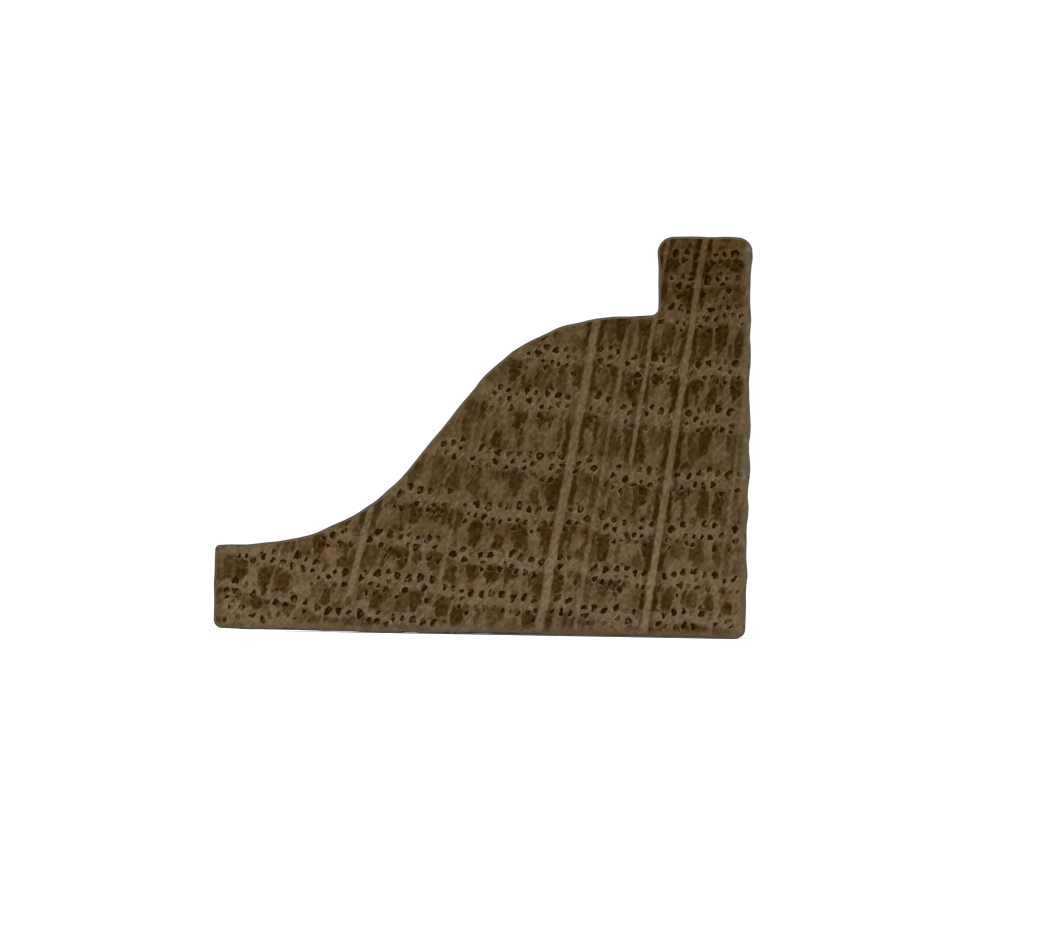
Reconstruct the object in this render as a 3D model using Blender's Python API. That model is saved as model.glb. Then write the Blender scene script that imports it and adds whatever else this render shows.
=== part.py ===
# Panel moulding: one length of solid oak with an ogee face, cut square at both ends.
#
# It lies on its back. X runs across the moulding, from the thin lip at -X to the heel at +X,
# which stands against a frame. Y runs along it, and Z is up, away from the panel.
# The origin is in the middle of the back.

import math

import bpy
from mathutils import Vector

INCH = 0.0254

LENGTH = 1.0
WIDTH = 3 / 4 * INCH
HEIGHT = 9 / 16 * INCH

# The lip is the thin edge that dies out on the panel.
LIP_HEIGHT = 0.00305

# The ogee: a hollow that runs into a straight slope, and then over a round nose.
SLOPE_ANGLE = math.radians(51.8)
SLOPE_FOOT = 0.00468  # from the lip's edge to where the slope's line would meet the lip's top
HOLLOW_RADIUS = 5 / 16 * INCH
NOSE_RADIUS = 9 / 32 * INCH
SHELF_HEIGHT = 0.01146  # the flat on top of the nose

# The square bead that stands up at the heel.
BEAD_WIDTH = 0.00337

# How far each corner is eased by the cutter and by sanding.
LIP_EASE = 0.00018
BACK_EASE = 0.00036
HEEL_EASE = 0.00046
BEAD_EASE = 0.00062
BEAD_ROOT = 0.00026

FACET_ANGLE = math.radians(2.6)  # the most that one facet turns on a large arc
LEAST_FACETS = 5  # on a small one


def section_corners():
    """The section's corners, each as (point, fillet radius), anticlockwise from the lip's foot.

    X is counted from the lip's edge and Y is the height above the panel. The hollow and the
    nose are fillets too, of the two corners where the slope's line meets the flats."""
    rise = SHELF_HEIGHT - LIP_HEIGHT
    bead_left = WIDTH - BEAD_WIDTH
    return [
        (Vector((0.0, 0.0)), BACK_EASE),
        (Vector((WIDTH, 0.0)), BACK_EASE),
        (Vector((WIDTH, HEIGHT)), HEEL_EASE),
        (Vector((bead_left, HEIGHT)), BEAD_EASE),
        (Vector((bead_left, SHELF_HEIGHT)), BEAD_ROOT),
        (Vector((SLOPE_FOOT + rise / math.tan(SLOPE_ANGLE), SHELF_HEIGHT)), NOSE_RADIUS),
        (Vector((SLOPE_FOOT, LIP_HEIGHT)), HOLLOW_RADIUS),
        (Vector((0.0, LIP_HEIGHT)), LIP_EASE),
    ]


def fillet(before, corner, after, radius):
    """Points along the arc of this radius that touches both sides of a corner."""
    incoming = (corner - before).normalized()
    outgoing = (after - corner).normalized()
    turn = incoming.angle_signed(outgoing)  # clockwise is positive
    to_centre = Vector((incoming.y, -incoming.x)) * math.copysign(radius, turn)
    start = corner - incoming * radius * math.tan(abs(turn) / 2)
    centre = start + to_centre
    facets = max(LEAST_FACETS, math.ceil(abs(turn) / FACET_ANGLE))
    points = []
    for step in range(facets + 1):
        swing = -turn * step / facets  # mathutils turns anticlockwise
        spoke = -to_centre
        points.append(
            centre
            + Vector((
                spoke.x * math.cos(swing) - spoke.y * math.sin(swing),
                spoke.x * math.sin(swing) + spoke.y * math.cos(swing),
            ))
        )
    return points


def section_outline():
    """The whole section as one closed row of points, centred on the back."""
    corners = section_corners()
    outline = []
    for index, (corner, radius) in enumerate(corners):
        before = corners[index - 1][0]
        after = corners[(index + 1) % len(corners)][0]
        outline += fillet(before, corner, after, radius)
    middle = Vector((WIDTH / 2, 0.0))
    return [point - middle for point in outline]


def bare_oak():
    """Unfinished oak, as the sawn end shows it."""
    material = bpy.data.materials.new("bare_oak")
    material.use_nodes = True
    shader = material.node_tree.nodes["Principled BSDF"]
    shader.inputs["Base Color"].default_value = (0.17, 0.11, 0.05, 1.0)
    shader.inputs["Roughness"].default_value = 0.8
    shader.inputs["Metallic"].default_value = 0.0
    return material


def panel_moulding(collection):
    """The section as a flat outline, extruded both ways from the middle of the length."""
    outline = section_outline()
    curve = bpy.data.curves.new("panel_moulding", "CURVE")
    curve.dimensions = "2D"
    curve.fill_mode = "BOTH"
    curve.extrude = LENGTH / 2
    spline = curve.splines.new("POLY")
    spline.points.add(len(outline) - 1)
    for slot, point in zip(spline.points, outline):
        slot.co = (point.x, point.y, 0.0, 1.0)
    spline.use_cyclic_u = True
    curve.materials.append(bare_oak())

    moulding = bpy.data.objects.new("panel_moulding", curve)
    # The outline is drawn flat, so it is stood up, with its height along Z.
    moulding.rotation_euler = (math.radians(90), 0.0, 0.0)
    collection.objects.link(moulding)
    return moulding


def main():
    for old in list(bpy.data.objects):
        bpy.data.objects.remove(old)
    collection = bpy.data.collections.new("panel_moulding")
    bpy.context.scene.collection.children.link(collection)
    panel_moulding(collection)


main()
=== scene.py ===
# %% [markdown]
# # A length of oak panel moulding
#
# The real thing is one strip of oak with an ogee face, sawn square at both ends. The photograph
# looks straight at one sawn end, so most of this lesson is about end grain: rows of open pores,
# pale rays and dark patches of late wood. The solid itself comes from the CAD model, already at
# its real size. Everything is in metres.

# %% Load the frame
import math
import random

import bmesh
import bpy
from mathutils import Matrix, Vector, noise


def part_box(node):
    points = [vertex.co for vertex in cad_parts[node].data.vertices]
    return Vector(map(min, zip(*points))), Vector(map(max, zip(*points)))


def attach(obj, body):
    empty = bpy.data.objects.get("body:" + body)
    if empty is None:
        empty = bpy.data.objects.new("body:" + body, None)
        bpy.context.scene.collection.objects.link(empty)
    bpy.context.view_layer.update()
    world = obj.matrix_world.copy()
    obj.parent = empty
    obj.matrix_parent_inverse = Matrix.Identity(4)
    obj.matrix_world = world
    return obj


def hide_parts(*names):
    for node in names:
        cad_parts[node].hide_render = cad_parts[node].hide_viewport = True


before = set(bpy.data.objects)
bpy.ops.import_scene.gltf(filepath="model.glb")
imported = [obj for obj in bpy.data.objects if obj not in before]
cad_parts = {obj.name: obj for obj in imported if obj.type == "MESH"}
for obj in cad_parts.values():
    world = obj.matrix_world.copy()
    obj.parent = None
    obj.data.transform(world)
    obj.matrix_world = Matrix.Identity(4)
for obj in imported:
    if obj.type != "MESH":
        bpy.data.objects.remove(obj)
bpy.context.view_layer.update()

MM = 0.001
low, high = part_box("panel_moulding")
NEAR_END = low.y
FAR_END = high.y
LENGTH = FAR_END - NEAR_END
WIDTH = high.x - low.x
print(f"section {WIDTH / MM:.2f} by {(high.z - low.z) / MM:.2f} mm, {LENGTH:.2f} m long")

# %% [markdown]
# ## The camera
#
# The photograph is square on to the sawn end, and shows nothing of the length behind it. A long
# lens a metre away does the same: its eye is level with a point inside the section, so every
# long side falls away behind the end. The camera is turned, and not shifted, to put the end
# where the photograph has it. The moulding leans a degree clockwise there, so the camera rolls.

# %% Place the camera
PHOTO_SIZE = Vector((1045, 950))  # pixels
PIXEL = 0.03575 * MM  # what one pixel of the photograph spans on the sawn end
HEEL_FOOT_PIXEL = Vector((746.0, 639.6))  # the section's lower right corner
PHOTO_LEAN = math.radians(1.0)
EYE_DISTANCE = 1.0
EYE_X = 7.9 * MM
EYE_HEIGHT = 0.12 * MM


def place_camera():
    """A camera that sees the near end at the photograph's place, scale and lean."""
    off_corner = PHOTO_SIZE / 2 - HEEL_FOOT_PIXEL
    off_corner.y *= -1  # pixels are counted downwards
    off_corner.rotate(Matrix.Rotation(PHOTO_LEAN, 2))
    target = Vector((high.x + off_corner.x * PIXEL, NEAR_END, low.z + off_corner.y * PIXEL))

    data = bpy.data.cameras.new("camera")
    data.lens = data.sensor_width * EYE_DISTANCE / (PHOTO_SIZE.x * PIXEL)
    camera = bpy.data.objects.new("camera", data)
    bpy.context.scene.collection.objects.link(camera)
    eye = Vector((EYE_X, NEAR_END - EYE_DISTANCE, EYE_HEIGHT))
    turn = (target - eye).to_track_quat("-Z", "Y").to_matrix().to_4x4()
    camera.matrix_world = Matrix.Translation(eye) @ turn @ Matrix.Rotation(PHOTO_LEAN, 4, "Z")
    bpy.context.scene.camera = camera
    print(f"the {data.lens:.0f} mm lens looks at x {target.x / MM:.2f}, z {target.z / MM:.2f} mm")


place_camera()

# %% [markdown]
# ## The floor and the light
#
# A cut-out photograph has a plain white ground, so the world is white and the floor is pale. It
# glows faintly, as a light table does, so that the thin shadow under the back isn't black. The
# world lights every side evenly, as a light tent does. One broad lamp overhead keeps the floor
# as bright as the world behind it, and another, up to the left of the camera, is there for the
# relief: it lights the lower right side of every pore and leaves the other side dark.

# %% Make the floor and the light
WHITE = (1.0, 1.0, 1.0, 1.0)
FLOOR_WIDTH = 60.0
FLOOR_COLOUR = (0.82, 0.82, 0.82, 1.0)
FLOOR_GLOW = 0.1
WORLD_STRENGTH = 1.13
OVERHEAD = (0.0, 0.0, 3.0)
UP_LEFT = (-2.0, -3.0, 1.8)


def pale_floor():
    """A large square plane under the moulding."""
    bm = bmesh.new()
    bmesh.ops.create_grid(bm, x_segments=1, y_segments=1, size=FLOOR_WIDTH / 2)
    mesh = bpy.data.meshes.new("floor")
    bm.to_mesh(mesh)
    bm.free()
    floor = bpy.data.objects.new("floor", mesh)
    bpy.context.scene.collection.objects.link(floor)
    material = bpy.data.materials.new("pale_floor")
    material.use_nodes = True
    shader = material.node_tree.nodes["Principled BSDF"]
    shader.inputs["Base Color"].default_value = FLOOR_COLOUR
    shader.inputs["Emission Color"].default_value = WHITE
    shader.inputs["Emission Strength"].default_value = FLOOR_GLOW
    shader.inputs["Roughness"].default_value = 0.9
    shader.inputs["Specular IOR Level"].default_value = 0.0
    mesh.materials.append(material)


def soft_lamp(name, place, width, power):
    """A square lamp that faces the middle of the moulding."""
    data = bpy.data.lights.new(name, "AREA")
    data.size = width
    data.energy = power
    lamp = bpy.data.objects.new(name, data)
    lamp.location = place
    lamp.rotation_euler = (-Vector(place)).to_track_quat("-Z", "Y").to_euler()
    bpy.context.scene.collection.objects.link(lamp)


def white_world():
    """An even white sky."""
    world = bpy.data.worlds.new("white")
    world.use_nodes = True
    background = world.node_tree.nodes["Background"]
    background.inputs["Color"].default_value = WHITE
    background.inputs["Strength"].default_value = WORLD_STRENGTH
    bpy.context.scene.world = world


pale_floor()
soft_lamp("overhead_lamp", OVERHEAD, width=3.0, power=60.0)
soft_lamp("left_lamp", UP_LEFT, width=1.0, power=40.0)
white_world()
bpy.context.scene.view_settings.view_transform = "Standard"
print(f"floor {FLOOR_WIDTH:.0f} m across, under {len(bpy.data.lights)} lamps")

# %% [markdown]
# ## How the oak grew
#
# Oak is ring porous: each spring the tree lays down a band of wide vessels, and then denser
# summer wood. The rings curve round the middle of the log, which was well above this piece,
# and pale rays run out from there. A place in the wood is given by two numbers: how far it is
# across the rays, counted along an arc, and how far out from the middle it is. The geometry and
# the materials both use them, so pores, patches and rays all agree.
#
# The rings wander a little from one end of the moulding to the other, as in a real tree.

# %% Describe the rings and rays
PITH = Vector((21.96, 116.03)) * MM  # X and Z of where the rays would meet
RING_MIDDLE = Vector((15.3, 115.9)) * MM  # X and Z of what the rings curve round
ARC_RADIUS = 110.8 * MM  # at this distance an angle is turned into a distance across
FIRST_RING = 100.40 * MM
RING_WIDTHS = [
    width * MM for width in (1.86, 0.91, 1.10, 1.97, 1.68, 2.24, 1.89, 1.77, 1.44, 1.47, 0.87, 1.6, 1.9)
]
RIPPLES = [(0.10 * MM, 1.25, 0.6), (0.06 * MM, 2.9, 2.0)]  # height, waves in radians a mm, start
RING_WANDER = 1.1 * MM  # how far the rings have moved in or out at the far end
RAY_DRIFT = 1.7 * MM  # and the rays, sideways

# Each ray is its place across, its width, where it starts and ends along the radius, and how
# plainly it shows.
RAYS = [
    (12.98 * MM, 0.12 * MM, 107.3 * MM, 114.3 * MM, 0.45),
    (15.30 * MM, 0.23 * MM, 98.0 * MM, 122.0 * MM, 1.0),
    (16.70 * MM, 0.15 * MM, 98.0 * MM, 110.6 * MM, 0.85),
    (17.63 * MM, 0.15 * MM, 105.5 * MM, 122.0 * MM, 0.6),
    (18.81 * MM, 0.29 * MM, 98.0 * MM, 122.0 * MM, 0.9),
    (22.42 * MM, 0.12 * MM, 108.0 * MM, 116.0 * MM, 0.4),
    (25.31 * MM, 0.21 * MM, 98.0 * MM, 116.4 * MM, 0.8),
    (27.92 * MM, 0.10 * MM, 114.2 * MM, 117.0 * MM, 0.5),
]


def ring_starts():
    """The radius at which each ring begins, from the inside out."""
    starts = [FIRST_RING]
    for width in RING_WIDTHS:
        starts.append(starts[-1] + width)
    return starts


def ripple(across):
    """How far a ring waves outwards at a place across the rays."""
    return sum(height * math.sin(across / MM * pace + start) for height, pace, start in RIPPLES)


def far_share(y):
    """0 at the near end, 1 at the far end."""
    return (y - NEAR_END) / LENGTH


def place_in_section(across, radius, y):
    """The X and Z of a place that is given across the rays and out from the middle."""
    angle = (across + RAY_DRIFT * far_share(y)) / ARC_RADIUS
    outwards = Vector((-math.sin(angle), -math.cos(angle)))
    wanted = radius + ripple(across) + RING_WANDER * far_share(y)
    offset = PITH - RING_MIDDLE
    along = -offset.dot(outwards)
    reach = along + math.sqrt(along * along - offset.length_squared + wanted * wanted)
    return PITH + outwards * reach


print(f"{len(RING_WIDTHS)} rings, {sum(RING_WIDTHS) / len(RING_WIDTHS) / MM:.2f} mm wide on average")

# %% [markdown]
# ## The body
#
# The body starts as a copy of the CAD solid, so its outline and size are right. That mesh is
# loose triangles, so its corners are merged and its flat triangles joined again. One end is
# then kept, its outline is cut finer, and it is extruded to the other end in short steps. This
# lets the long faces wave by a few hundredths of a millimetre, as real ones do. The outline of
# each end strays a little more, because the saw tore it there, and most on the back and the
# heel. The ends get a small eased arris with a bevel.

# %% Make the body
OUTLINE_STEP = 0.32 * MM  # the longest edge left in the outline
LENGTH_CUTS = 39
TOUCHING = 0.001 * MM  # corners closer than this are one
FLAT = math.radians(0.5)  # and so are faces that turn less than this


def merged_copy(node):
    """The CAD node's mesh as whole faces, without the normals that came with its triangles."""
    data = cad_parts[node].data.copy()
    stored = data.attributes.get("custom_normal")
    if stored:
        data.attributes.remove(stored)
    bm = bmesh.new()
    bm.from_mesh(data)
    bpy.data.meshes.remove(data)
    bmesh.ops.remove_doubles(bm, verts=bm.verts, dist=TOUCHING)
    bmesh.ops.dissolve_limit(bm, angle_limit=FLAT, verts=bm.verts, edges=bm.edges)
    return bm


def end_face(bm, y):
    """The one face that closes the end at this Y."""
    upright = [face for face in bm.faces if abs(face.normal.y) > 0.9]
    return min(upright, key=lambda face: abs(face.calc_center_median().y - y))


def number_outline(bm, section):
    """Stores each corner's distance round the outline as the number called round."""
    way_round = bm.verts.layers.float.new("round")
    walked = 0.0
    for loop in section.loops:
        loop.vert[way_round] = walked
        walked += loop.edge.calc_length()
    return walked


def draw_out_again(bm):
    """Cuts the outline of the near end finer, and extrudes it to the far end in short steps."""
    section = end_face(bm, NEAR_END)
    bmesh.ops.delete(bm, geom=[face for face in bm.faces if face != section], context="FACES")
    for edge in list(bm.edges):
        cuts = math.ceil(edge.calc_length() / OUTLINE_STEP) - 1
        if cuts:
            bmesh.ops.bisect_edges(bm, edges=[edge], cuts=cuts)
    outline_length = number_outline(bm, section)
    copied = bmesh.ops.extrude_face_region(bm, geom=[section], use_keep_orig=True)["geom"]
    moved = [part for part in copied if isinstance(part, bmesh.types.BMVert)]
    bmesh.ops.translate(bm, verts=moved, vec=(0, LENGTH, 0))
    lengthwise = [edge for edge in bm.edges if edge.calc_length() > LENGTH / 2]
    bmesh.ops.subdivide_edges(bm, edges=lengthwise, cuts=LENGTH_CUTS, use_grid_fill=True)
    bmesh.ops.recalc_face_normals(bm, faces=bm.faces)
    return outline_length


body = merged_copy("panel_moulding")
outline_length = draw_out_again(body)
print(f"body of {len(body.faces)} faces, {outline_length / MM:.1f} mm round its outline")

# %% Wave its faces and ease its ends
WAVE = 0.07 * MM
WAVE_LENGTH = 3.2 * MM  # across the faces
WAVE_RUN = 45 * MM  # along them
SKIN = 0.05 * MM  # how near the box's sides the back and the heel are
BACK_WAVE = 0.4  # the back waves less, so that it lies flat
TEAR = 0.085 * MM  # how far the outline of a sawn end strays besides
TEAR_LENGTH = 0.75 * MM
TEAR_REACH = 2.0 * MM  # how soon that dies away along the length
SHOW_TEAR = 0.55  # its share on the show face
ARRIS = 0.11 * MM
NOISE_SEED = 5


def wave_faces(bm):
    """Moves the faces in and out a little, and the outline of both ends a little more."""
    noise.seed_set(NOISE_SEED)
    for vert in bm.verts:
        x, y, z = vert.co
        push = noise.noise_vector(Vector((x / WAVE_LENGTH, y / WAVE_RUN, z / WAVE_LENGTH)))
        tear = noise.noise_vector(vert.co / TEAR_LENGTH)
        on_back = z < low.z + SKIN
        on_heel = x > high.x - SKIN
        torn = TEAR * math.exp(-min(y - NEAR_END, FAR_END - y) / TEAR_REACH)
        vert.co.x += WAVE * push.x + torn * tear.x * (1.0 if on_heel else SHOW_TEAR)
        wave = WAVE * (BACK_WAVE if on_back else 1.0)
        vert.co.z += wave * push.z + torn * tear.z * (1.0 if on_back else SHOW_TEAR)
    sink = min(vert.co.z for vert in bm.verts)
    bmesh.ops.translate(bm, verts=bm.verts, vec=(0, 0, -sink))


def ease_ends(bm):
    """Takes the sharp edge off both ends. The number called arris is 1 on the eased corners."""
    arris = bm.verts.layers.float.new("arris")
    for end in (NEAR_END, FAR_END):
        bmesh.ops.bevel(
            bm, geom=list(end_face(bm, end).edges), offset=ARRIS, offset_type="OFFSET",
            affect="EDGES", segments=2, profile=0.5, material=-1, clamp_overlap=True,
        )
    bmesh.ops.remove_doubles(bm, verts=bm.verts, dist=TOUCHING)
    for vert in bm.verts:
        from_end = min(vert.co.y - NEAR_END, FAR_END - vert.co.y)
        vert[arris] = 1.0 if 0.01 * ARRIS < from_end < 1.01 * ARRIS else 0.0


wave_faces(body)
ease_ends(body)
corners = len(end_face(body, NEAR_END).verts)
print(f"body of {len(body.faces)} faces, with {corners} corners round each end")

# %% [markdown]
# ## The pores
#
# On the sawn end each spring vessel is a real hole, about a quarter of a millimetre wide. They
# stand in up to four staggered rows at the start of each ring, and keep clear of the rays. In a
# narrow ring the last rows are thinned out. Walking along each row with a seeded random step
# gives the crowded but uneven look of oak, and a pore that would fall on another, on a ray or
# outside the outline is left out.
#
# Some pores are open and deep, and others are blocked by growths inside them, so a pore has
# a depth too, and the deeper ones get darker painted shade inside. The saw dragged them all the
# same way, so they lean along its marks.

# %% Choose where the pores are
PORE_GAP = 0.012 * MM  # half of the room left over between two pores in a row, on average
ROW_STEP = 0.25 * MM
FIRST_ROW = 0.42  # how far the first row is into its ring, in steps
ROW_JITTER = 0.04 * MM
ROWS = [  # how likely a pore is in each row, and its radius
    (1.0, 0.142 * MM), (0.98, 0.130 * MM), (0.95, 0.116 * MM), (0.85, 0.104 * MM)
]
SIZE_RANGE = (0.72, 1.2)  # of one pore, as shares of its row's radius
RIM = 0.06 * MM
DEPTHS = {"open": 0.06 * MM, "half": 0.04 * MM, "blocked": 0.02 * MM}
# Painted shade inside the pits, darkest in the open ones.
PIT_SHADE_RANGE = {"open": (0.85, 1.0), "half": (0.6, 0.85), "blocked": (0.35, 0.6)}
RIM_HIGHLIGHT_STRENGTH = {"open": (0.45, 1.0), "half": (0.4, 0.9), "blocked": (0.15, 0.5)}  # strength of the painted highlight on the rims
CROWDING = 1.08  # how near two pores may stand, in sums of their radii
LARGEST = 1.25  # the longest that a pore's uneven edge gets, in radii
RAY_ROOM = 0.8  # how near to a ray a pore's middle may be, in radii
ACROSS_RANGE = (10.5 * MM, 31.5 * MM)
SPRING_SHARE = 0.45  # the part of a ring's width that its rows of pores keep to
STRAY_CHANCE = 0.5  # how likely a pore is past that, against one inside it


def clear_of_outline(point, outline):
    """How far a point is inside the outline, below zero outside."""
    nearest = math.inf
    inside = False
    for index, corner in enumerate(outline):
        before = outline[index - 1]
        edge = corner - before
        share = max(0.0, min(1.0, (point - before).dot(edge) / edge.length_squared))
        nearest = min(nearest, (point - before - edge * share).length)
        if (corner.y > point.y) != (before.y > point.y):
            crossing = before.x + (point.y - before.y) / edge.y * edge.x
            inside ^= point.x < crossing
    return nearest if inside else -nearest


def clear_of_rays(across, radius):
    """How far a place is from the nearest ray's edge."""
    gaps = [
        abs(across - place) - width / 2
        for place, width, start, end, _ in RAYS if start < radius < end
    ]
    return min(gaps, default=math.inf)


def pore_row(start, width, row, y, pick):
    """One row of pores along a ring, each as (X and Z, radius, state)."""
    chance, usual = ROWS[row]
    if ROW_STEP * row > SPRING_SHARE * width:
        chance *= STRAY_CHANCE
    across = ACROSS_RANGE[0] + pick.uniform(0, usual)
    pores = []
    while across < ACROSS_RANGE[1]:
        size = usual * pick.uniform(*SIZE_RANGE)
        across += size + RIM / 2
        radius = start + ROW_STEP * (row + FIRST_ROW) + pick.gauss(0, ROW_JITTER)
        # In the later rows more pores are blocked.
        state = pick.choices(("open", "half", "blocked"), (6 - row, 3, 1 + row))[0]
        if pick.random() < chance and clear_of_rays(across, radius) > size * RAY_ROOM:
            pores.append((place_in_section(across, radius, y), size, state))
        across += size + RIM / 2 + PORE_GAP * pick.expovariate(1) ** 2
    return pores


def scatter_pores(y, seed):
    """Every pore on one end."""
    pick = random.Random(seed)
    outline = [Vector((vert.co.x, vert.co.z)) for vert in end_face(body, y).verts]
    kept = []
    for start, width in zip(ring_starts(), RING_WIDTHS):
        ring = []
        for row in range(len(ROWS)):
            for spot, size, state in pore_row(start, width, row, y, pick):
                crowded = any(
                    (spot - other).length < CROWDING * (size + its_size) for other, its_size, _ in ring
                )
                if not crowded and clear_of_outline(spot, outline) > LARGEST * (size + RIM):
                    ring.append((spot, size, state))
        kept += ring
    return kept


near_pores = scatter_pores(NEAR_END, seed=7)
far_pores = scatter_pores(FAR_END, seed=19)
print(f"{len(near_pores)} pores on the near end and {len(far_pores)} on the far end")

# %% [markdown]
# ## Cutting the pores
#
# A hole in a flat face could be cut with a boolean, but several hundred would be slow and would
# leave ragged triangles. Here the end face is taken out, a ring of points is drawn for each
# pore, and triangle_fill makes the face again round the rings. Each ring is then plugged with a
# face. A first inset of the plug makes its rim, and a second one, pushed into the wood, makes
# the pit. A loop is added in the middle of the rim, where its painted highlight is palest, so that
# it fades both ways.
#
# Two more numbers go with the corners, for the material to read: one for the painted highlight
# round a pore's mouth, and one for the painted shade inside it.

# %% Draw the rings
PORE_SIDES = 12
UNEVEN = 0.13  # how far a pore's corners stray, as a share of its radius
SAW_ANGLE = math.radians(52)  # up to the right, seen from the near end
STRETCH = 0.2  # how far a pore may be drawn out along the saw's marks
FILLED = 0.95  # how much of its share of the room between two pores each may fill


def room_towards(direction, spot, size, neighbours):
    """How far a pore may reach in one direction before it meets the next one's share."""
    room = LARGEST * size
    for other, its_size in neighbours:
        apart = other - spot
        facing = apart.dot(direction)
        if facing > 0:
            share = size / (size + its_size)
            room = min(room, FILLED * share * apart.length_squared / facing)
    return room


def pore_ring(bm, spot, y, size, neighbours, pick):
    """A closed ring of edges: an uneven oval, flattened where its neighbours crowd it."""
    stand = Matrix.Translation((spot.x, y, spot.y)) @ Matrix.Rotation(math.radians(90), 4, "X")
    ring = bmesh.ops.create_circle(bm, segments=PORE_SIDES, radius=size, matrix=stand)["verts"]
    lean = pick.gauss(SAW_ANGLE, 0.6)
    stretch = pick.uniform(0.0, STRETCH)
    for vert in ring:
        spoke = Vector((vert.co.x, vert.co.z)) - spot
        direction = spoke.normalized()
        oval = 1 + stretch * math.cos(2 * (math.atan2(direction.y, direction.x) - lean))
        wanted = size * oval * (1 + pick.uniform(-UNEVEN, UNEVEN))
        spoke = direction * min(wanted, room_towards(direction, spot, size, neighbours))
        vert.co = (spot.x + spoke.x, y, spot.y + spoke.y)
    return ring


def plug_rings(plate, rings, outwards):
    """Closes each ring with one face, and gives the faces in the rings' order."""
    owner = {vert: index for index, ring in enumerate(rings) for vert in ring}
    edges = [
        edge for edge in plate.edges
        if len(edge.link_faces) == 1 and edge.verts[0] in owner
        and owner[edge.verts[0]] == owner.get(edge.verts[1])
    ]
    plugs = bmesh.ops.edgeloop_fill(plate, edges=edges)["faces"]
    for plug in plugs:
        if plug.normal.dot(outwards) < 0:
            plug.normal_flip()
    return sorted(plugs, key=lambda plug: owner[plug.verts[0]])


# %% Shape the pits
MOUTH_STRAY = 0.02 * MM  # how far the mouth's edge strays inside its rim
MOUTH_SHIFT = 0.03 * MM  # and how far the whole mouth is off centre
SQUEEZE = 0.28  # how far the mouth may be pressed together across the saw's marks
LOBES = 0.26  # and how far its three lobes may stand out
HIGHLIGHT_SIDE = math.radians(225)  # the side of most pores where the rim is widest and its painted highlight palest
INNER_RIM = 0.35  # how pale the rim's painted highlight is at its mouth, against its middle
TAPER = 0.026 * MM
MOUTH_SHADE = 0.5  # how dark the painted shade already is at a pore's edge, as a share of its bottom
LIT_SIDE = Vector((0.7, 0.0, -0.7))  # painted light: the pits' painted shade is paler on this side, as if light reached in from the upper left
MOST_LIT = 0.6  # how far that painted light may take the painted shade away on that side


def shape_mouth(plug, highlight_side, pick):
    """Makes a pore's mouth an uneven leaning slot, away from the side where its rim is wide."""
    middle = plug.calc_center_median()
    lean = pick.gauss(SAW_ANGLE, 0.35)
    beside = Vector((-math.sin(lean), 0.0, math.cos(lean)))
    squeeze = pick.uniform(0.0, SQUEEZE)
    lobes = pick.uniform(0.0, LOBES)
    first_lobe = pick.uniform(0, math.tau)
    shift = highlight_side * -pick.uniform(0, MOUTH_SHIFT)
    for vert in plug.verts:
        spoke = vert.co - middle
        angle = math.atan2(spoke.z, spoke.x)
        spoke *= 1 + lobes * math.cos(3 * angle + first_lobe)
        spoke -= beside * spoke.dot(beside) * squeeze
        spoke += spoke.normalized() * pick.uniform(-MOUTH_STRAY, MOUTH_STRAY)
        vert.co = middle + spoke + shift


def paint_rim_highlight(plug, highlight_side, rim, state, pick):
    """Paints a highlight on the rim, palest on one side, like a new moon."""
    middle = plug.calc_center_median()
    strength = pick.uniform(*RIM_HIGHLIGHT_STRENGTH[state])
    for vert in plug.verts:
        facing = (vert.co - middle).normalized().dot(highlight_side)
        vert[rim] = strength * max(0.0, 0.3 + 0.7 * facing) * pick.uniform(0.4, 1.0)


def soften_rims(plate, plugs, rim):
    """Adds a loop in the middle of each rim, and gives it the painted highlight of the mouth's edge."""
    spokes = [
        edge for plug in plugs for vert in plug.verts for edge in vert.link_edges
        if plug not in edge.link_faces
    ]
    bmesh.ops.subdivide_edges(plate, edges=spokes, cuts=1)
    for plug in plugs:
        for vert in plug.verts:
            spoke = next(edge for edge in vert.link_edges if plug not in edge.link_faces)
            spoke.other_vert(vert)[rim] = vert[rim]
            vert[rim] *= INNER_RIM


def sink_pores(plate, plugs, pores, pick):
    """Gives each plug a rim with a painted highlight, pushes it in as far as its pore is open, and
    paints shade inside.
    """
    rim = plate.verts.layers.float["rim"]
    hollow = plate.verts.layers.float["hollow"]
    bmesh.ops.inset_individual(plate, faces=plugs, thickness=RIM, use_even_offset=True)
    for plug, (_, _, state) in zip(plugs, pores):
        towards = pick.gauss(HIGHLIGHT_SIDE, 0.8)
        highlight_side = Vector((math.cos(towards), 0.0, math.sin(towards)))
        shape_mouth(plug, highlight_side, pick)
        paint_rim_highlight(plug, highlight_side, rim, state, pick)
    soften_rims(plate, plugs, rim)
    for state, depth in DEPTHS.items():
        chosen = [plug for plug, (_, _, its_state) in zip(plugs, pores) if its_state == state]
        for plug in chosen:
            for vert in plug.verts:
                vert[hollow] = MOUTH_SHADE
        bmesh.ops.inset_individual(
            plate, faces=chosen, thickness=TAPER, depth=-depth, use_even_offset=True
        )
        for plug in chosen:
            shade_strength = pick.uniform(*PIT_SHADE_RANGE[state])
            painted_lit = pick.uniform(0.0, MOST_LIT)
            middle = plug.calc_center_median()
            for vert in plug.verts:
                facing = (vert.co - middle).normalized().dot(LIT_SIDE)
                vert[rim] = 0.0
                vert[hollow] = shade_strength * (1 - painted_lit * max(0.0, facing))


# %% Cut the pores
REACH = 0.8 * MM  # pores further apart than this don't crowd each other


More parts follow.
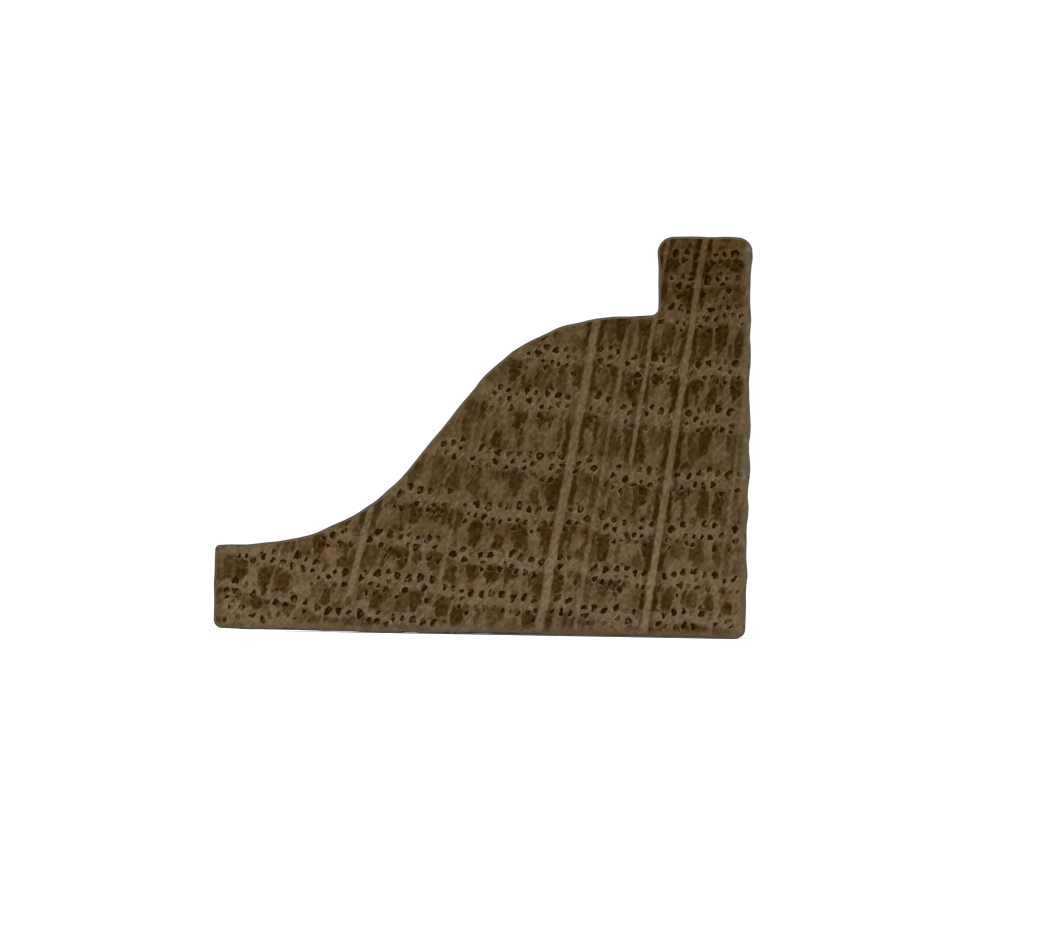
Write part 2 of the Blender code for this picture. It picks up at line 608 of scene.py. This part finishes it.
def pored_plate(y, pores, seed):
    """One end's face as a mesh of its own, with a pit for every pore."""
    pick = random.Random(seed)
    plate = body.copy()
    old = end_face(plate, y)
    outwards = old.normal.copy()
    bmesh.ops.delete(plate, geom=[face for face in plate.faces if face != old], context="FACES")
    bmesh.ops.delete(plate, geom=list(plate.faces), context="FACES_ONLY")

    rings = []
    for spot, size, state in pores:
        neighbours = [
            (other, its_size + RIM) for other, its_size, _ in pores if 0 < (other - spot).length < REACH
        ]
        rings.append(pore_ring(plate, spot, y, size + RIM, neighbours, pick))
    bmesh.ops.triangle_fill(plate, use_beauty=True, edges=list(plate.edges), normal=outwards)
    sink_pores(plate, plug_rings(plate, rings, outwards), pores, pick)
    mesh = bpy.data.meshes.new("pored_plate")
    plate.to_mesh(mesh)
    plate.free()
    return mesh


def add_plate(y, pores, seed):
    """Fits a pored plate into its end of the body."""
    plate = pored_plate(y, pores, seed)
    bmesh.ops.delete(body, geom=[end_face(body, y)], context="FACES_ONLY")
    for face in body.faces:
        face.tag = True
    body.from_mesh(plate)
    bpy.data.meshes.remove(plate)
    made = [face for face in body.faces if not face.tag]
    for face in made:
        face.material_index = 1
    return len(made)


body.verts.layers.float.new("rim")
body.verts.layers.float.new("hollow")
arris = body.verts.layers.float["arris"]
for face in body.faces:
    # Of the arris's two strips of faces, only the outer one has the end's finish.
    face.material_index = 1 if all(vert[arris] for vert in face.verts) else 0
count = add_plate(NEAR_END, near_pores, seed=11) + add_plate(FAR_END, far_pores, seed=23)
print(f"{count} faces on the two ends")

# %% Close the seams
border = [vert for vert in body.verts if any(len(edge.link_faces) < 2 for edge in vert.link_edges)]
bmesh.ops.remove_doubles(body, verts=border, dist=TOUCHING)
bmesh.ops.recalc_face_normals(body, faces=body.faces)
for face in body.faces:
    face.smooth = True
open_edges = sum(len(edge.link_faces) != 2 for edge in body.edges)
print(f"{len(border)} corners on the seams, {open_edges} open edges")

# %% [markdown]
# ## A flat map of the surface
#
# Where the moulding is reused, its finish is baked into a picture through a flat map. A map that
# gave every face the same scale would leave a sawn end only twenty pixels wide, beside a metre of
# length. So the two ends get a little more than the top third of the picture, and the long faces
# are unrolled below them, with the length squeezed ten times, because their grain is long.

# %% Unwrap the surface
PICTURE_SIZE = 1024  # pixels
MAP_MARGIN = 0.007
ENDS_FROM = 0.625  # the height in the picture where the ends begin
END_WIDTH = 0.486
SIDES_HEIGHT = 0.605


def flatten_end(face, flat):
    """Lays a face of a sawn end flat, the near end on the left and the far end on the right."""
    on_near_end = face.calc_center_median().y < 0
    for loop in face.loops:
        x, _, z = loop.vert.co
        across = MAP_MARGIN + (x - low.x) / WIDTH * END_WIDTH
        up = ENDS_FROM + (z - low.z) / WIDTH * END_WIDTH
        loop[flat].uv = (across if on_near_end else 1 - across, up)


def unroll_side(face, flat, way_round):
    """Lays a long face flat, with its length across the picture and its way round going up."""
    places = [loop.vert[way_round] for loop in face.loops]
    over_seam = max(places) - min(places) > outline_length / 2
    for loop, place in zip(face.loops, places):
        if over_seam and place < outline_length / 2:
            place += outline_length
        across = MAP_MARGIN + far_share(loop.vert.co.y) * (1 - 2 * MAP_MARGIN)
        loop[flat].uv = (across, MAP_MARGIN + place / outline_length * (SIDES_HEIGHT - MAP_MARGIN))


flat = body.loops.layers.uv.new("OFBake")
way_round = body.verts.layers.float["round"]
for face in body.faces:
    if face.material_index:
        flatten_end(face, flat)
    else:
        unroll_side(face, flat, way_round)
sharpness = PICTURE_SIZE * END_WIDTH / WIDTH * MM
print(f"a picture {PICTURE_SIZE} pixels wide has {sharpness:.0f} a millimetre on the ends")

# %% Finish the mesh
SHARP_ANGLE = math.radians(35)
mesh = bpy.data.meshes.new("oak_moulding")
body.to_mesh(mesh)
body.free()
mesh.set_sharp_from_angle(angle=SHARP_ANGLE)
moulding = bpy.data.objects.new("oak_moulding", mesh)
bpy.context.scene.collection.objects.link(moulding)
print(f"{sum(len(face.vertices) - 2 for face in mesh.polygons)} triangles")

# %% [markdown]
# ## How a finish is worked out
#
# A wood finish has many layers: tissue, patches, rays, scratches, dirt. Each layer is a small
# sum over the two numbers that place a point in the log, so a helper that adds one node for each
# step keeps the layers readable. Colours are given as the photograph shows them, from 0 to 255,
# and are divided by the light that falls on the sawn end there.

# %% A helper for finishes
LIGHT_ON_END = 1.46


def shown(red, green, blue):
    """The finish that looks like this colour of the photograph."""
    linear = [((part / 255 + 0.055) / 1.055) ** 2.4 for part in (red, green, blue)]
    return (*[part / LIGHT_ON_END for part in linear], 1.0)


class Finish:
    """A material whose colour, roughness and bump are built up one step at a time."""

    def __init__(self, name):
        self.material = bpy.data.materials.new(name)
        self.material.use_nodes = True
        self.tree = self.material.node_tree
        self.shader = self.tree.nodes["Principled BSDF"]
        self.find_grain()

    def add(self, kind, **settings):
        """A new node with its settings."""
        node = self.tree.nodes.new(kind)
        for setting, value in settings.items():
            setattr(node, setting, value)
        return node

    def feed(self, socket, value):
        """Links another step into a socket, or sets the socket to a plain value."""
        if isinstance(value, bpy.types.NodeSocket):
            self.tree.links.new(value, socket)
        else:
            socket.default_value = value

    def calc(self, operation, *values):
        """One step of arithmetic."""
        node = self.add("ShaderNodeMath", operation=operation)
        for socket, value in zip(node.inputs, values):
            self.feed(socket, value)
        return node.outputs[0]

    def plus(self, total, *others):
        """A sum."""
        for other in others:
            total = self.calc("ADD", total, other)
        return total

    def minus(self, value, taken):
        """A difference."""
        return self.calc("SUBTRACT", value, taken)

    def times(self, total, *others):
        """A product."""
        for other in others:
            total = self.calc("MULTIPLY", total, other)
        return total

    def ramp(self, value, start, end, low=0.0, high=1.0):
        """A smooth change from low to high as the value goes from start to end."""
        node = self.add("ShaderNodeMapRange", interpolation_type="SMOOTHSTEP")
        for socket, part in zip(node.inputs, (value, start, end, low, high)):
            self.feed(socket, part)
        return node.outputs[0]

    def window(self, value, start, full, fading, end):
        """1 between full and fading, 0 before start and after end."""
        return self.times(self.ramp(value, start, full), self.ramp(value, end, fading))

    def place(self, *parts):
        """A vector from three numbers."""
        node = self.add("ShaderNodeCombineXYZ")
        for socket, value in zip(node.inputs, parts):
            self.feed(socket, value)
        return node.outputs[0]

    def find_grain(self):
        """Where a point is in the log: across the rays, out from the middle, and along."""
        where = self.add("ShaderNodeSeparateXYZ")
        self.feed(where.inputs[0], self.add("ShaderNodeTexCoord").outputs["Object"])
        self.x, self.y, self.z = where.outputs
        share = self.calc("DIVIDE", self.minus(self.y, NEAR_END), LENGTH)
        angle = self.calc("ARCTAN2", self.minus(PITH.x, self.x), self.minus(PITH.y, self.z))
        drift = self.times(share, RAY_DRIFT)
        self.across = self.minus(self.times(angle, ARC_RADIUS), drift)
        across_mm = self.calc("DIVIDE", self.across, MM)
        distance = self.add("ShaderNodeVectorMath", operation="DISTANCE")
        self.feed(distance.inputs[0], self.place(self.x, 0.0, self.z))
        self.feed(distance.inputs[1], (RING_MIDDLE.x, 0.0, RING_MIDDLE.y))
        radius = self.minus(distance.outputs["Value"], self.times(share, RING_WANDER))
        for height, pace, start in RIPPLES:
            wave = self.calc("SINE", self.plus(self.times(across_mm, pace), start))
            radius = self.minus(radius, self.times(wave, height))
        self.radius = radius
        self.rings = self.count_rings(radius)
        self.phase = self.calc("FRACT", self.rings)

    def count_rings(self, radius):
        """Rings from the first one: the fraction is how far through its ring a point is."""
        starts = ring_starts()
        reach = starts[-1] - starts[0]
        ramp = self.add("ShaderNodeValToRGB")
        stops = ramp.color_ramp.elements
        while len(stops) < len(starts):
            stops.new(0.5)
        for ring, (stop, start) in enumerate(zip(stops, starts)):
            stop.position = (start - starts[0]) / reach
            stop.color = (ring / len(RING_WIDTHS),) * 3 + (1.0,)
        self.feed(ramp.inputs[0], self.calc("DIVIDE", self.minus(radius, starts[0]), reach))
        return self.times(ramp.outputs[0], len(RING_WIDTHS))

    def count_in(self, places, sizes, seed=0.0):
        """Three distances as a vector, each counted in its own size, and the first one shifted."""
        parts = [self.calc("DIVIDE", place, size) for place, size in zip(places, sizes)]
        parts[0] = self.plus(parts[0], seed)
        return self.place(*parts)

    def clouds(self, places, sizes, seed, detail):
        """Noise whose blotches have these sizes along three directions."""
        node = self.add("ShaderNodeTexNoise", noise_dimensions="3D")
        node.inputs["Scale"].default_value = 1.0
        node.inputs["Detail"].default_value = detail
        self.feed(node.inputs["Vector"], self.count_in(places, sizes, seed))
        return node.outputs[0]

    def cells(self, across, outwards, along):
        """How far a point is from the middle of its cell, for cells of these sizes in the log."""
        node = self.add("ShaderNodeTexVoronoi", voronoi_dimensions="3D", feature="F1")
        node.inputs["Scale"].default_value = 1.0
        places = (self.across, self.radius, self.y)
        self.feed(node.inputs["Vector"], self.count_in(places, (across, outwards, along)))
        return node.outputs["Distance"]

    def mottle(self, across, outwards, along, seed=0.0, detail=2.0):
        """Blotches that follow the rays and rings."""
        return self.clouds((self.across, self.radius, self.y), (across, outwards, along), seed, detail)

    def hatch(self, beside, onwards, seed, detail=2.0):
        """Blotches drawn out along the marks that the saw left on the end."""
        sine = math.sin(SAW_ANGLE)
        cosine = math.cos(SAW_ANGLE)
        to_side = self.minus(self.times(self.z, cosine), self.times(self.x, sine))
        forward = self.plus(self.times(self.x, cosine), self.times(self.z, sine))
        return self.clouds((to_side, forward, self.y), (beside, onwards, 5 * MM), seed, detail)

    def attribute(self, name):
        """A number that the mesh carries."""
        return self.add("ShaderNodeAttribute", attribute_name=name).outputs["Fac"]

    def blend(self, share, below, above, way="MIX"):
        """One colour laid over another."""
        node = self.add("ShaderNodeMix", data_type="RGBA", blend_type=way)
        self.feed(node.inputs["Factor"], share)
        self.feed(node.inputs["A"], below)
        self.feed(node.inputs["B"], above)
        return node.outputs["Result"]

    def set_surface(self, colour, roughness, height, relief):
        """Feeds the shader. Relief is how many metres a height of 1 stands up."""
        self.feed(self.shader.inputs["Base Color"], colour)
        self.feed(self.shader.inputs["Roughness"], roughness)
        bump = self.add("ShaderNodeBump")
        bump.inputs["Distance"].default_value = relief
        self.feed(bump.inputs["Height"], height)
        self.feed(self.shader.inputs["Normal"], bump.outputs[0])


print(f"a mid brown comes out as {[round(part, 3) for part in shown(89, 71, 45)[:3]]}")

# %% [markdown]
# ## The sawn end
#
# Under the pores the end grain has four layers. The tissue is a mid brown with soft blotches.
# Pale rays cross it. Dark patches of dense fibre stand in the late part of each ring, in uneven
# cells under a millimetre apart, and along both sides of each ray. The early part is paler
# between its pores. The saw has dragged it all a little to one side, so the patches have ragged
# edges that lean with its marks, and so have the painted shade in the pores and the painted
# highlights on their rims. Its fine marks change the hue too: the pale ones are greyer.
#
# Oil from the show face has soaked in at the top of the bead and at the edge of the lip, and
# torn grey fibre stands along the back and the heel.
#
# A Voronoi texture gives one cell for each patch when its two axes are the distance across
# the rays and the count of rings, so every patch stays inside its own ring.

# %% Make the layers of the end grain
RAY_BEND = 0.12 * MM
RAY_FRAY = 0.06 * MM
FLANK_FRAY = 0.3 * MM
FLANK_WIDTH = 0.16 * MM
PATCH_SPACING = 0.74 * MM
SMALL_PATCH_SPACING = 0.43 * MM


def ray_layers(finish):
    """Where the rays are, and where the dark fibre beside them is."""
    bend = finish.minus(finish.mottle(3 * MM, 1.1 * MM, 40 * MM), 0.5)
    fray = finish.minus(finish.mottle(0.2 * MM, 0.4 * MM, 4 * MM, seed=23.0), 0.5)
    across = finish.plus(finish.across, finish.times(bend, RAY_BEND))
    rays = 0.0
    flanks = 0.0
    for place, width, start, end, strength in RAYS:
        off = finish.calc("ABSOLUTE", finish.minus(across, place))
        frayed = finish.plus(off, finish.times(fray, RAY_FRAY))
        length = finish.window(finish.radius, start - 0.4 * MM, start, end - 0.8 * MM, end)
        length = finish.times(length, strength)
        ray = finish.times(finish.ramp(frayed, width * 0.7, width * 0.3), length)
        outer = finish.plus(off, finish.times(fray, FLANK_FRAY))
        edge = width / 2
        fading = edge + FLANK_WIDTH
        flank = finish.window(outer, edge * 0.5, edge * 1.1, fading, fading + 0.1 * MM)
        rays = finish.calc("MAXIMUM", rays, ray)
        flanks = finish.calc("MAXIMUM", flanks, finish.times(flank, length))
    return rays, flanks


def patches(finish, spacing, seed, middle, edge):
    """One row of dark cells in each ring, this far apart, with ragged leaning edges."""
    ragged = finish.minus(finish.hatch(0.13 * MM, 0.24 * MM, seed, detail=4.0), 0.5)
    cells = finish.add("ShaderNodeTexVoronoi", voronoi_dimensions="2D", feature="F1")
    cells.inputs["Scale"].default_value = 1.0
    cells.inputs["Randomness"].default_value = 0.75
    change_along = finish.times(finish.y, 31.0)
    column = finish.plus(finish.calc("DIVIDE", finish.across, spacing), change_along, seed)
    row = finish.minus(finish.rings, middle)
    finish.feed(cells.inputs["Vector"], finish.place(column, row, 0.0))
    chance = finish.add("ShaderNodeSeparateColor")
    finish.feed(chance.inputs[0], cells.outputs["Color"])
    distance = finish.plus(cells.outputs["Distance"], finish.times(ragged, 0.45))
    distance = finish.plus(distance, finish.ramp(chance.outputs[1], 0.0, 1.0, -0.06, 0.08))
    strength = finish.ramp(chance.outputs[0], 0.0, 0.6, 0.5, 1.0)
    return finish.times(finish.ramp(distance, edge + 0.045, edge - 0.045), strength)


def dark_fibre(finish, tissue_cells, flanks):
    """All the dark patches: large and small ones in the late wood, and the rays' flanks."""
    late = finish.window(finish.phase, 0.26, 0.42, 0.92, 1.0)
    large = patches(finish, PATCH_SPACING, 3.0, 0.17, 0.34)
    small = patches(finish, SMALL_PATCH_SPACING, 11.0, 0.1, 0.25)
    both = finish.calc("MAXIMUM", large, finish.times(small, 0.85))
    both = finish.times(both, finish.ramp(tissue_cells, 0.25, 0.6, 1.0, 0.86))
    broken = finish.ramp(finish.mottle(0.3 * MM, 0.7 * MM, 12 * MM, seed=5.0), 0.32, 0.45)
    beside_rays = finish.times(flanks, broken)
    beside_rays = finish.times(beside_rays, finish.ramp(late, 0.0, 1.0, 0.6, 1.0))
    return finish.calc("MAXIMUM", finish.times(both, late), beside_rays)


def from_sawn_edge(finish):
    """How far a point is from the back or the heel, whichever is nearer."""
    torn = finish.mottle(0.35 * MM, 0.35 * MM, 5 * MM, seed=2.0)
    wander = finish.times(finish.minus(torn, 0.5), 0.3 * MM)
    from_heel = finish.minus(high.x, finish.x)
    return finish.plus(finish.calc("MINIMUM", from_heel, finish.z), wander)


def soaked_oil(finish, hue):
    """Where oil from the show face soaked in: at the top of the bead, and at the edge of the lip."""
    from_lip = finish.minus(finish.x, low.x)
    at_bead = finish.ramp(finish.plus(finish.z, finish.times(hue, 3 * MM)), 11.2 * MM, 15.2 * MM)
    at_lip = finish.ramp(finish.plus(from_lip, finish.times(hue, 0.3 * MM)), 0.65 * MM, 0.35 * MM)
    return finish.calc("MAXIMUM", at_bead, finish.times(at_lip, 0.85))


# %% Make the end grain
TISSUE = shown(86, 67, 39)
TISSUE_PALE = shown(103, 85, 60)
LATE_WOOD = shown(52, 32, 2)
LATE_WOOD_OLIVE = shown(51, 33, 2)
PORE_BAND = shown(105, 87, 63)
RAY = shown(113, 94, 70)
SHRED_AND_RIM_HIGHLIGHT = shown(126, 109, 86)
PIT_PAINTED_SHADE = shown(52, 30, 0)
TORN_FIBRE = shown(93, 86, 72)
TORN_ENDS = shown(132, 123, 106)
REDDISH = (1.03, 0.972, 0.952, 1.0)
OLIVE = (0.98, 1.0, 0.942, 1.0)
PALE_FOOT = (1.30, 1.34, 1.47, 1.0)  # paler and greyer towards the back, darker towards the top
DARK_NOSE = (0.935, 0.92, 0.89, 1.0)
OILED = (0.71, 0.63, 0.43, 1.0)
ARRIS_PAINTED_SHADE = shown(66, 55, 38)
MARK_TINT = (0.83, 1.0, 1.44)  # how much a mark changes red, green and blue: a pale one is greyer


def end_grain():
    """The sawn end, with its pores, rays and patches."""
    finish = Finish("oak_end_grain")
    rays, flanks = ray_layers(finish)
    tissue_cells = finish.cells(0.17 * MM, 0.21 * MM, 3 * MM)
    dark = dark_fibre(finish, tissue_cells, flanks)
    early = finish.window(finish.phase, 0.0, 0.05, 0.30, 0.48)
    scratches = finish.ramp(finish.hatch(0.06 * MM, 1.1 * MM, seed=1.0), 0.35, 0.65)
    shreds = finish.ramp(finish.hatch(0.08 * MM, 0.3 * MM, seed=31.0), 0.56, 0.7)
    fine = finish.mottle(0.13 * MM, 0.17 * MM, 1 * MM)
    blotches = finish.mottle(0.4 * MM, 0.6 * MM, 6 * MM, seed=9.0, detail=3.0)
    hue = finish.mottle(0.9 * MM, 1.1 * MM, 9 * MM, seed=14.0)

    colour = finish.blend(finish.ramp(blotches, 0.35, 0.65), TISSUE, TISSUE_PALE)
    colour = finish.blend(finish.times(early, 0.62), colour, PORE_BAND)
    late_wood = finish.blend(finish.ramp(hue, 0.42, 0.58), LATE_WOOD, LATE_WOOD_OLIVE)
    colour = finish.blend(finish.times(dark, 0.97), colour, late_wood)
    worn = finish.ramp(finish.mottle(0.3 * MM, 0.6 * MM, 6 * MM, seed=17.0), 0.3, 0.7, 0.75, 1.0)
    colour = finish.blend(finish.times(rays, worn), colour, RAY)
    tint = finish.blend(finish.ramp(hue, 0.38, 0.62), REDDISH, OLIVE)
    colour = finish.blend(1.0, colour, tint, "MULTIPLY")
    tone = finish.blend(finish.ramp(finish.z, 0.0, 6.5 * MM), PALE_FOOT, DARK_NOSE)
    colour = finish.blend(1.0, colour, tone, "MULTIPLY")
    shreds = finish.times(shreds, finish.ramp(early, 0.0, 1.0, 0.14, 0.62))
    colour = finish.blend(shreds, colour, SHRED_AND_RIM_HIGHLIGHT)
    lines = finish.ramp(scratches, 0.0, 1.0, -0.11, 0.11)
    marks = finish.plus(finish.ramp(fine, 0.3, 0.7, 0.78, 1.2), lines)
    marks = finish.times(marks, finish.ramp(tissue_cells, 0.15, 0.65, 0.92, 1.06))
    marks = finish.minus(marks, 1.0)
    marks = [finish.plus(finish.times(marks, share), 1.0) for share in MARK_TINT]
    colour = finish.blend(1.0, colour, finish.place(*marks), "MULTIPLY")

    rim_and_shade_breakup = finish.hatch(0.10 * MM, 0.26 * MM, seed=6.0)
    # Painted highlight: a pale crescent on one side of each pore's rim.
    rim = finish.ramp(finish.attribute("rim"), 0.0, 0.8)
    rim = finish.times(rim, finish.ramp(rim_and_shade_breakup, 0.32, 0.55, 0.4, 0.9))
    # Painted shade: each pit is darkened inside, most of all the open ones.
    hollow = finish.times(finish.attribute("hollow"), finish.ramp(rim_and_shade_breakup, 0.64, 0.5, 0.3, 1.0))
    colour = finish.blend(rim, colour, SHRED_AND_RIM_HIGHLIGHT)
    colour = finish.blend(finish.ramp(hollow, 0.1, 0.75), colour, PIT_PAINTED_SHADE)
    # Painted shade: the eased arris is coloured darker than the end, a dark outline round it; on the
    # back and the heel the grey fibre laid on later covers it.
    colour = finish.blend(finish.times(finish.attribute("arris"), 0.8), colour, ARRIS_PAINTED_SHADE)
    oiled = finish.blend(1.0, colour, OILED, "MULTIPLY")
    colour = finish.blend(soaked_oil(finish, hue), colour, oiled)
    edge = from_sawn_edge(finish)
    colour = finish.blend(finish.ramp(edge, 0.42 * MM, 0.14 * MM, 0.0, 0.7), colour, PORE_BAND)
    colour = finish.blend(finish.ramp(edge, 0.2 * MM, 0.06 * MM), colour, TORN_FIBRE)
    specks = finish.ramp(finish.mottle(0.3 * MM, 0.4 * MM, 1 * MM, seed=19.0, detail=3.0), 0.5, 0.7)
    specks = finish.times(specks, finish.ramp(edge, 0.34 * MM, 0.12 * MM, 0.0, 0.55))
    colour = finish.blend(specks, colour, TORN_ENDS)

    height = finish.plus(fine, finish.times(scratches, 0.5))
    height = finish.plus(height, finish.times(tissue_cells, 0.5))
    height = finish.minus(height, finish.times(dark, 0.4))
    finish.set_surface(colour, 0.85, height, 0.02 * MM)
    finish.shader.inputs["Specular IOR Level"].default_value = 0.0
    return finish.material


# %% [markdown]
# ## The long faces
#
# The same tree runs on along the length. The long faces cut each vessel lengthwise, so the
# spring bands become stripes of short fine grooves, and they cut each ray into a fleck: a thin
# line on the back, and a wide pale flake on the heel, which lies almost along the rays.
# A vessel is drawn as a long cell, and a ray as a thin sheet, in the log's own directions, and
# each face shows them in its own way because it cuts them at its own angle.
#
# The show face was sanded and oiled, which has made it brown and a little glossy. The back and
# the heel were left as they came from the saw. They are greyer and duller, and fine marks run
# straight across them. The last few millimetres at both ends are darker; on the eased arris this
# is painted shade, a dark outline round the sawn end.

# %% Make the long grain
SHOW_FACE = shown(112, 88, 57)
SHOW_FACE_DARK = shown(84, 62, 36)
BACK_FACE = shown(122, 108, 86)
BACK_FACE_DARK = shown(98, 84, 63)
GROOVE = shown(50, 33, 12)
FLECK = shown(143, 124, 95)
DARK_END_AND_ARRIS_SHADE = shown(76, 68, 52)


def show_side(finish):
    """1 on the ogee, the bead and the lip, and 0 on the back and the heel."""
    off_back = finish.ramp(finish.z, 0.1 * MM, 0.4 * MM)
    off_heel = finish.ramp(finish.minus(high.x, finish.x), 0.1 * MM, 0.4 * MM)
    return finish.times(off_back, off_heel)


def saw_lines(finish):
    """Fine lines straight across the length."""
    lines = finish.clouds((finish.x, finish.y, finish.z), (14 * MM, 0.9 * MM, 14 * MM), 41.0, 3.0)
    return finish.ramp(lines, 0.5, 0.62)


def near_an_end(finish):
    """1 at either end, fading over the last few millimetres."""
    from_near = finish.minus(finish.y, NEAR_END)
    from_end = finish.calc("MINIMUM", from_near, finish.minus(FAR_END, finish.y))
    uneven = finish.times(finish.mottle(0.3 * MM, 0.3 * MM, 20 * MM, seed=28.0), 2.5 * MM)
    return finish.ramp(finish.minus(from_end, uneven), 1.8 * MM, -1.2 * MM)


def long_grain():
    """The long faces, with their stripes, grooves and flecks."""
    finish = Finish("oak_long_grain")
    early = finish.window(finish.phase, 0.0, 0.06, 0.28, 0.5)
    vessels = finish.ramp(finish.cells(0.26 * MM, 0.26 * MM, 11 * MM), 0.42, 0.23)
    grooves = finish.times(vessels, early)
    fibre = finish.mottle(0.08 * MM, 0.08 * MM, 8 * MM, detail=3.0)
    flecks = finish.ramp(finish.mottle(0.3 * MM, 4 * MM, 9 * MM, seed=7.0, detail=3.0), 0.61, 0.65)
    drift = finish.mottle(5 * MM, 5 * MM, 110 * MM, seed=4.0, detail=3.0)
    show = show_side(finish)
    sawn = finish.times(saw_lines(finish), finish.minus(1.0, show))

    stripes = finish.times(finish.phase, 0.45)
    threads = finish.ramp(fibre, 0.3, 0.7, -0.25, 0.25)
    slow = finish.ramp(drift, 0.3, 0.7, 0.0, 0.5)
    shade = finish.plus(stripes, threads, slow, finish.times(sawn, 0.14))
    rough_face = finish.blend(shade, BACK_FACE, BACK_FACE_DARK)
    smooth_face = finish.blend(shade, SHOW_FACE, SHOW_FACE_DARK)
    colour = finish.blend(show, rough_face, smooth_face)
    colour = finish.blend(finish.times(flecks, finish.ramp(show, 0.0, 1.0, 0.5, 0.2)), colour, FLECK)
    colour = finish.blend(finish.times(grooves, 0.75), colour, GROOVE)
    # Darker over the last few millimetres at both ends; on the eased arris this is painted shade, a
    # dark outline round the sawn end.
    colour = finish.blend(finish.times(near_an_end(finish), 0.6), colour, DARK_END_AND_ARRIS_SHADE)

    height = finish.minus(finish.times(fibre, 0.35), finish.plus(grooves, finish.times(sawn, 0.6)))
    roughness = finish.plus(finish.ramp(show, 0.0, 1.0, 0.85, 0.55), finish.times(grooves, 0.2))
    roughness = finish.minus(roughness, finish.times(flecks, 0.12))
    finish.set_surface(colour, roughness, height, 0.05 * MM)
    finish.shader.inputs["Specular IOR Level"].default_value = 0.25
    return finish.material


mesh.materials.append(long_grain())
mesh.materials.append(end_grain())
print(f"{len(mesh.materials)} finishes")

# %% Place it on the frame
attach(moulding, "root")
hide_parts("panel_moulding")
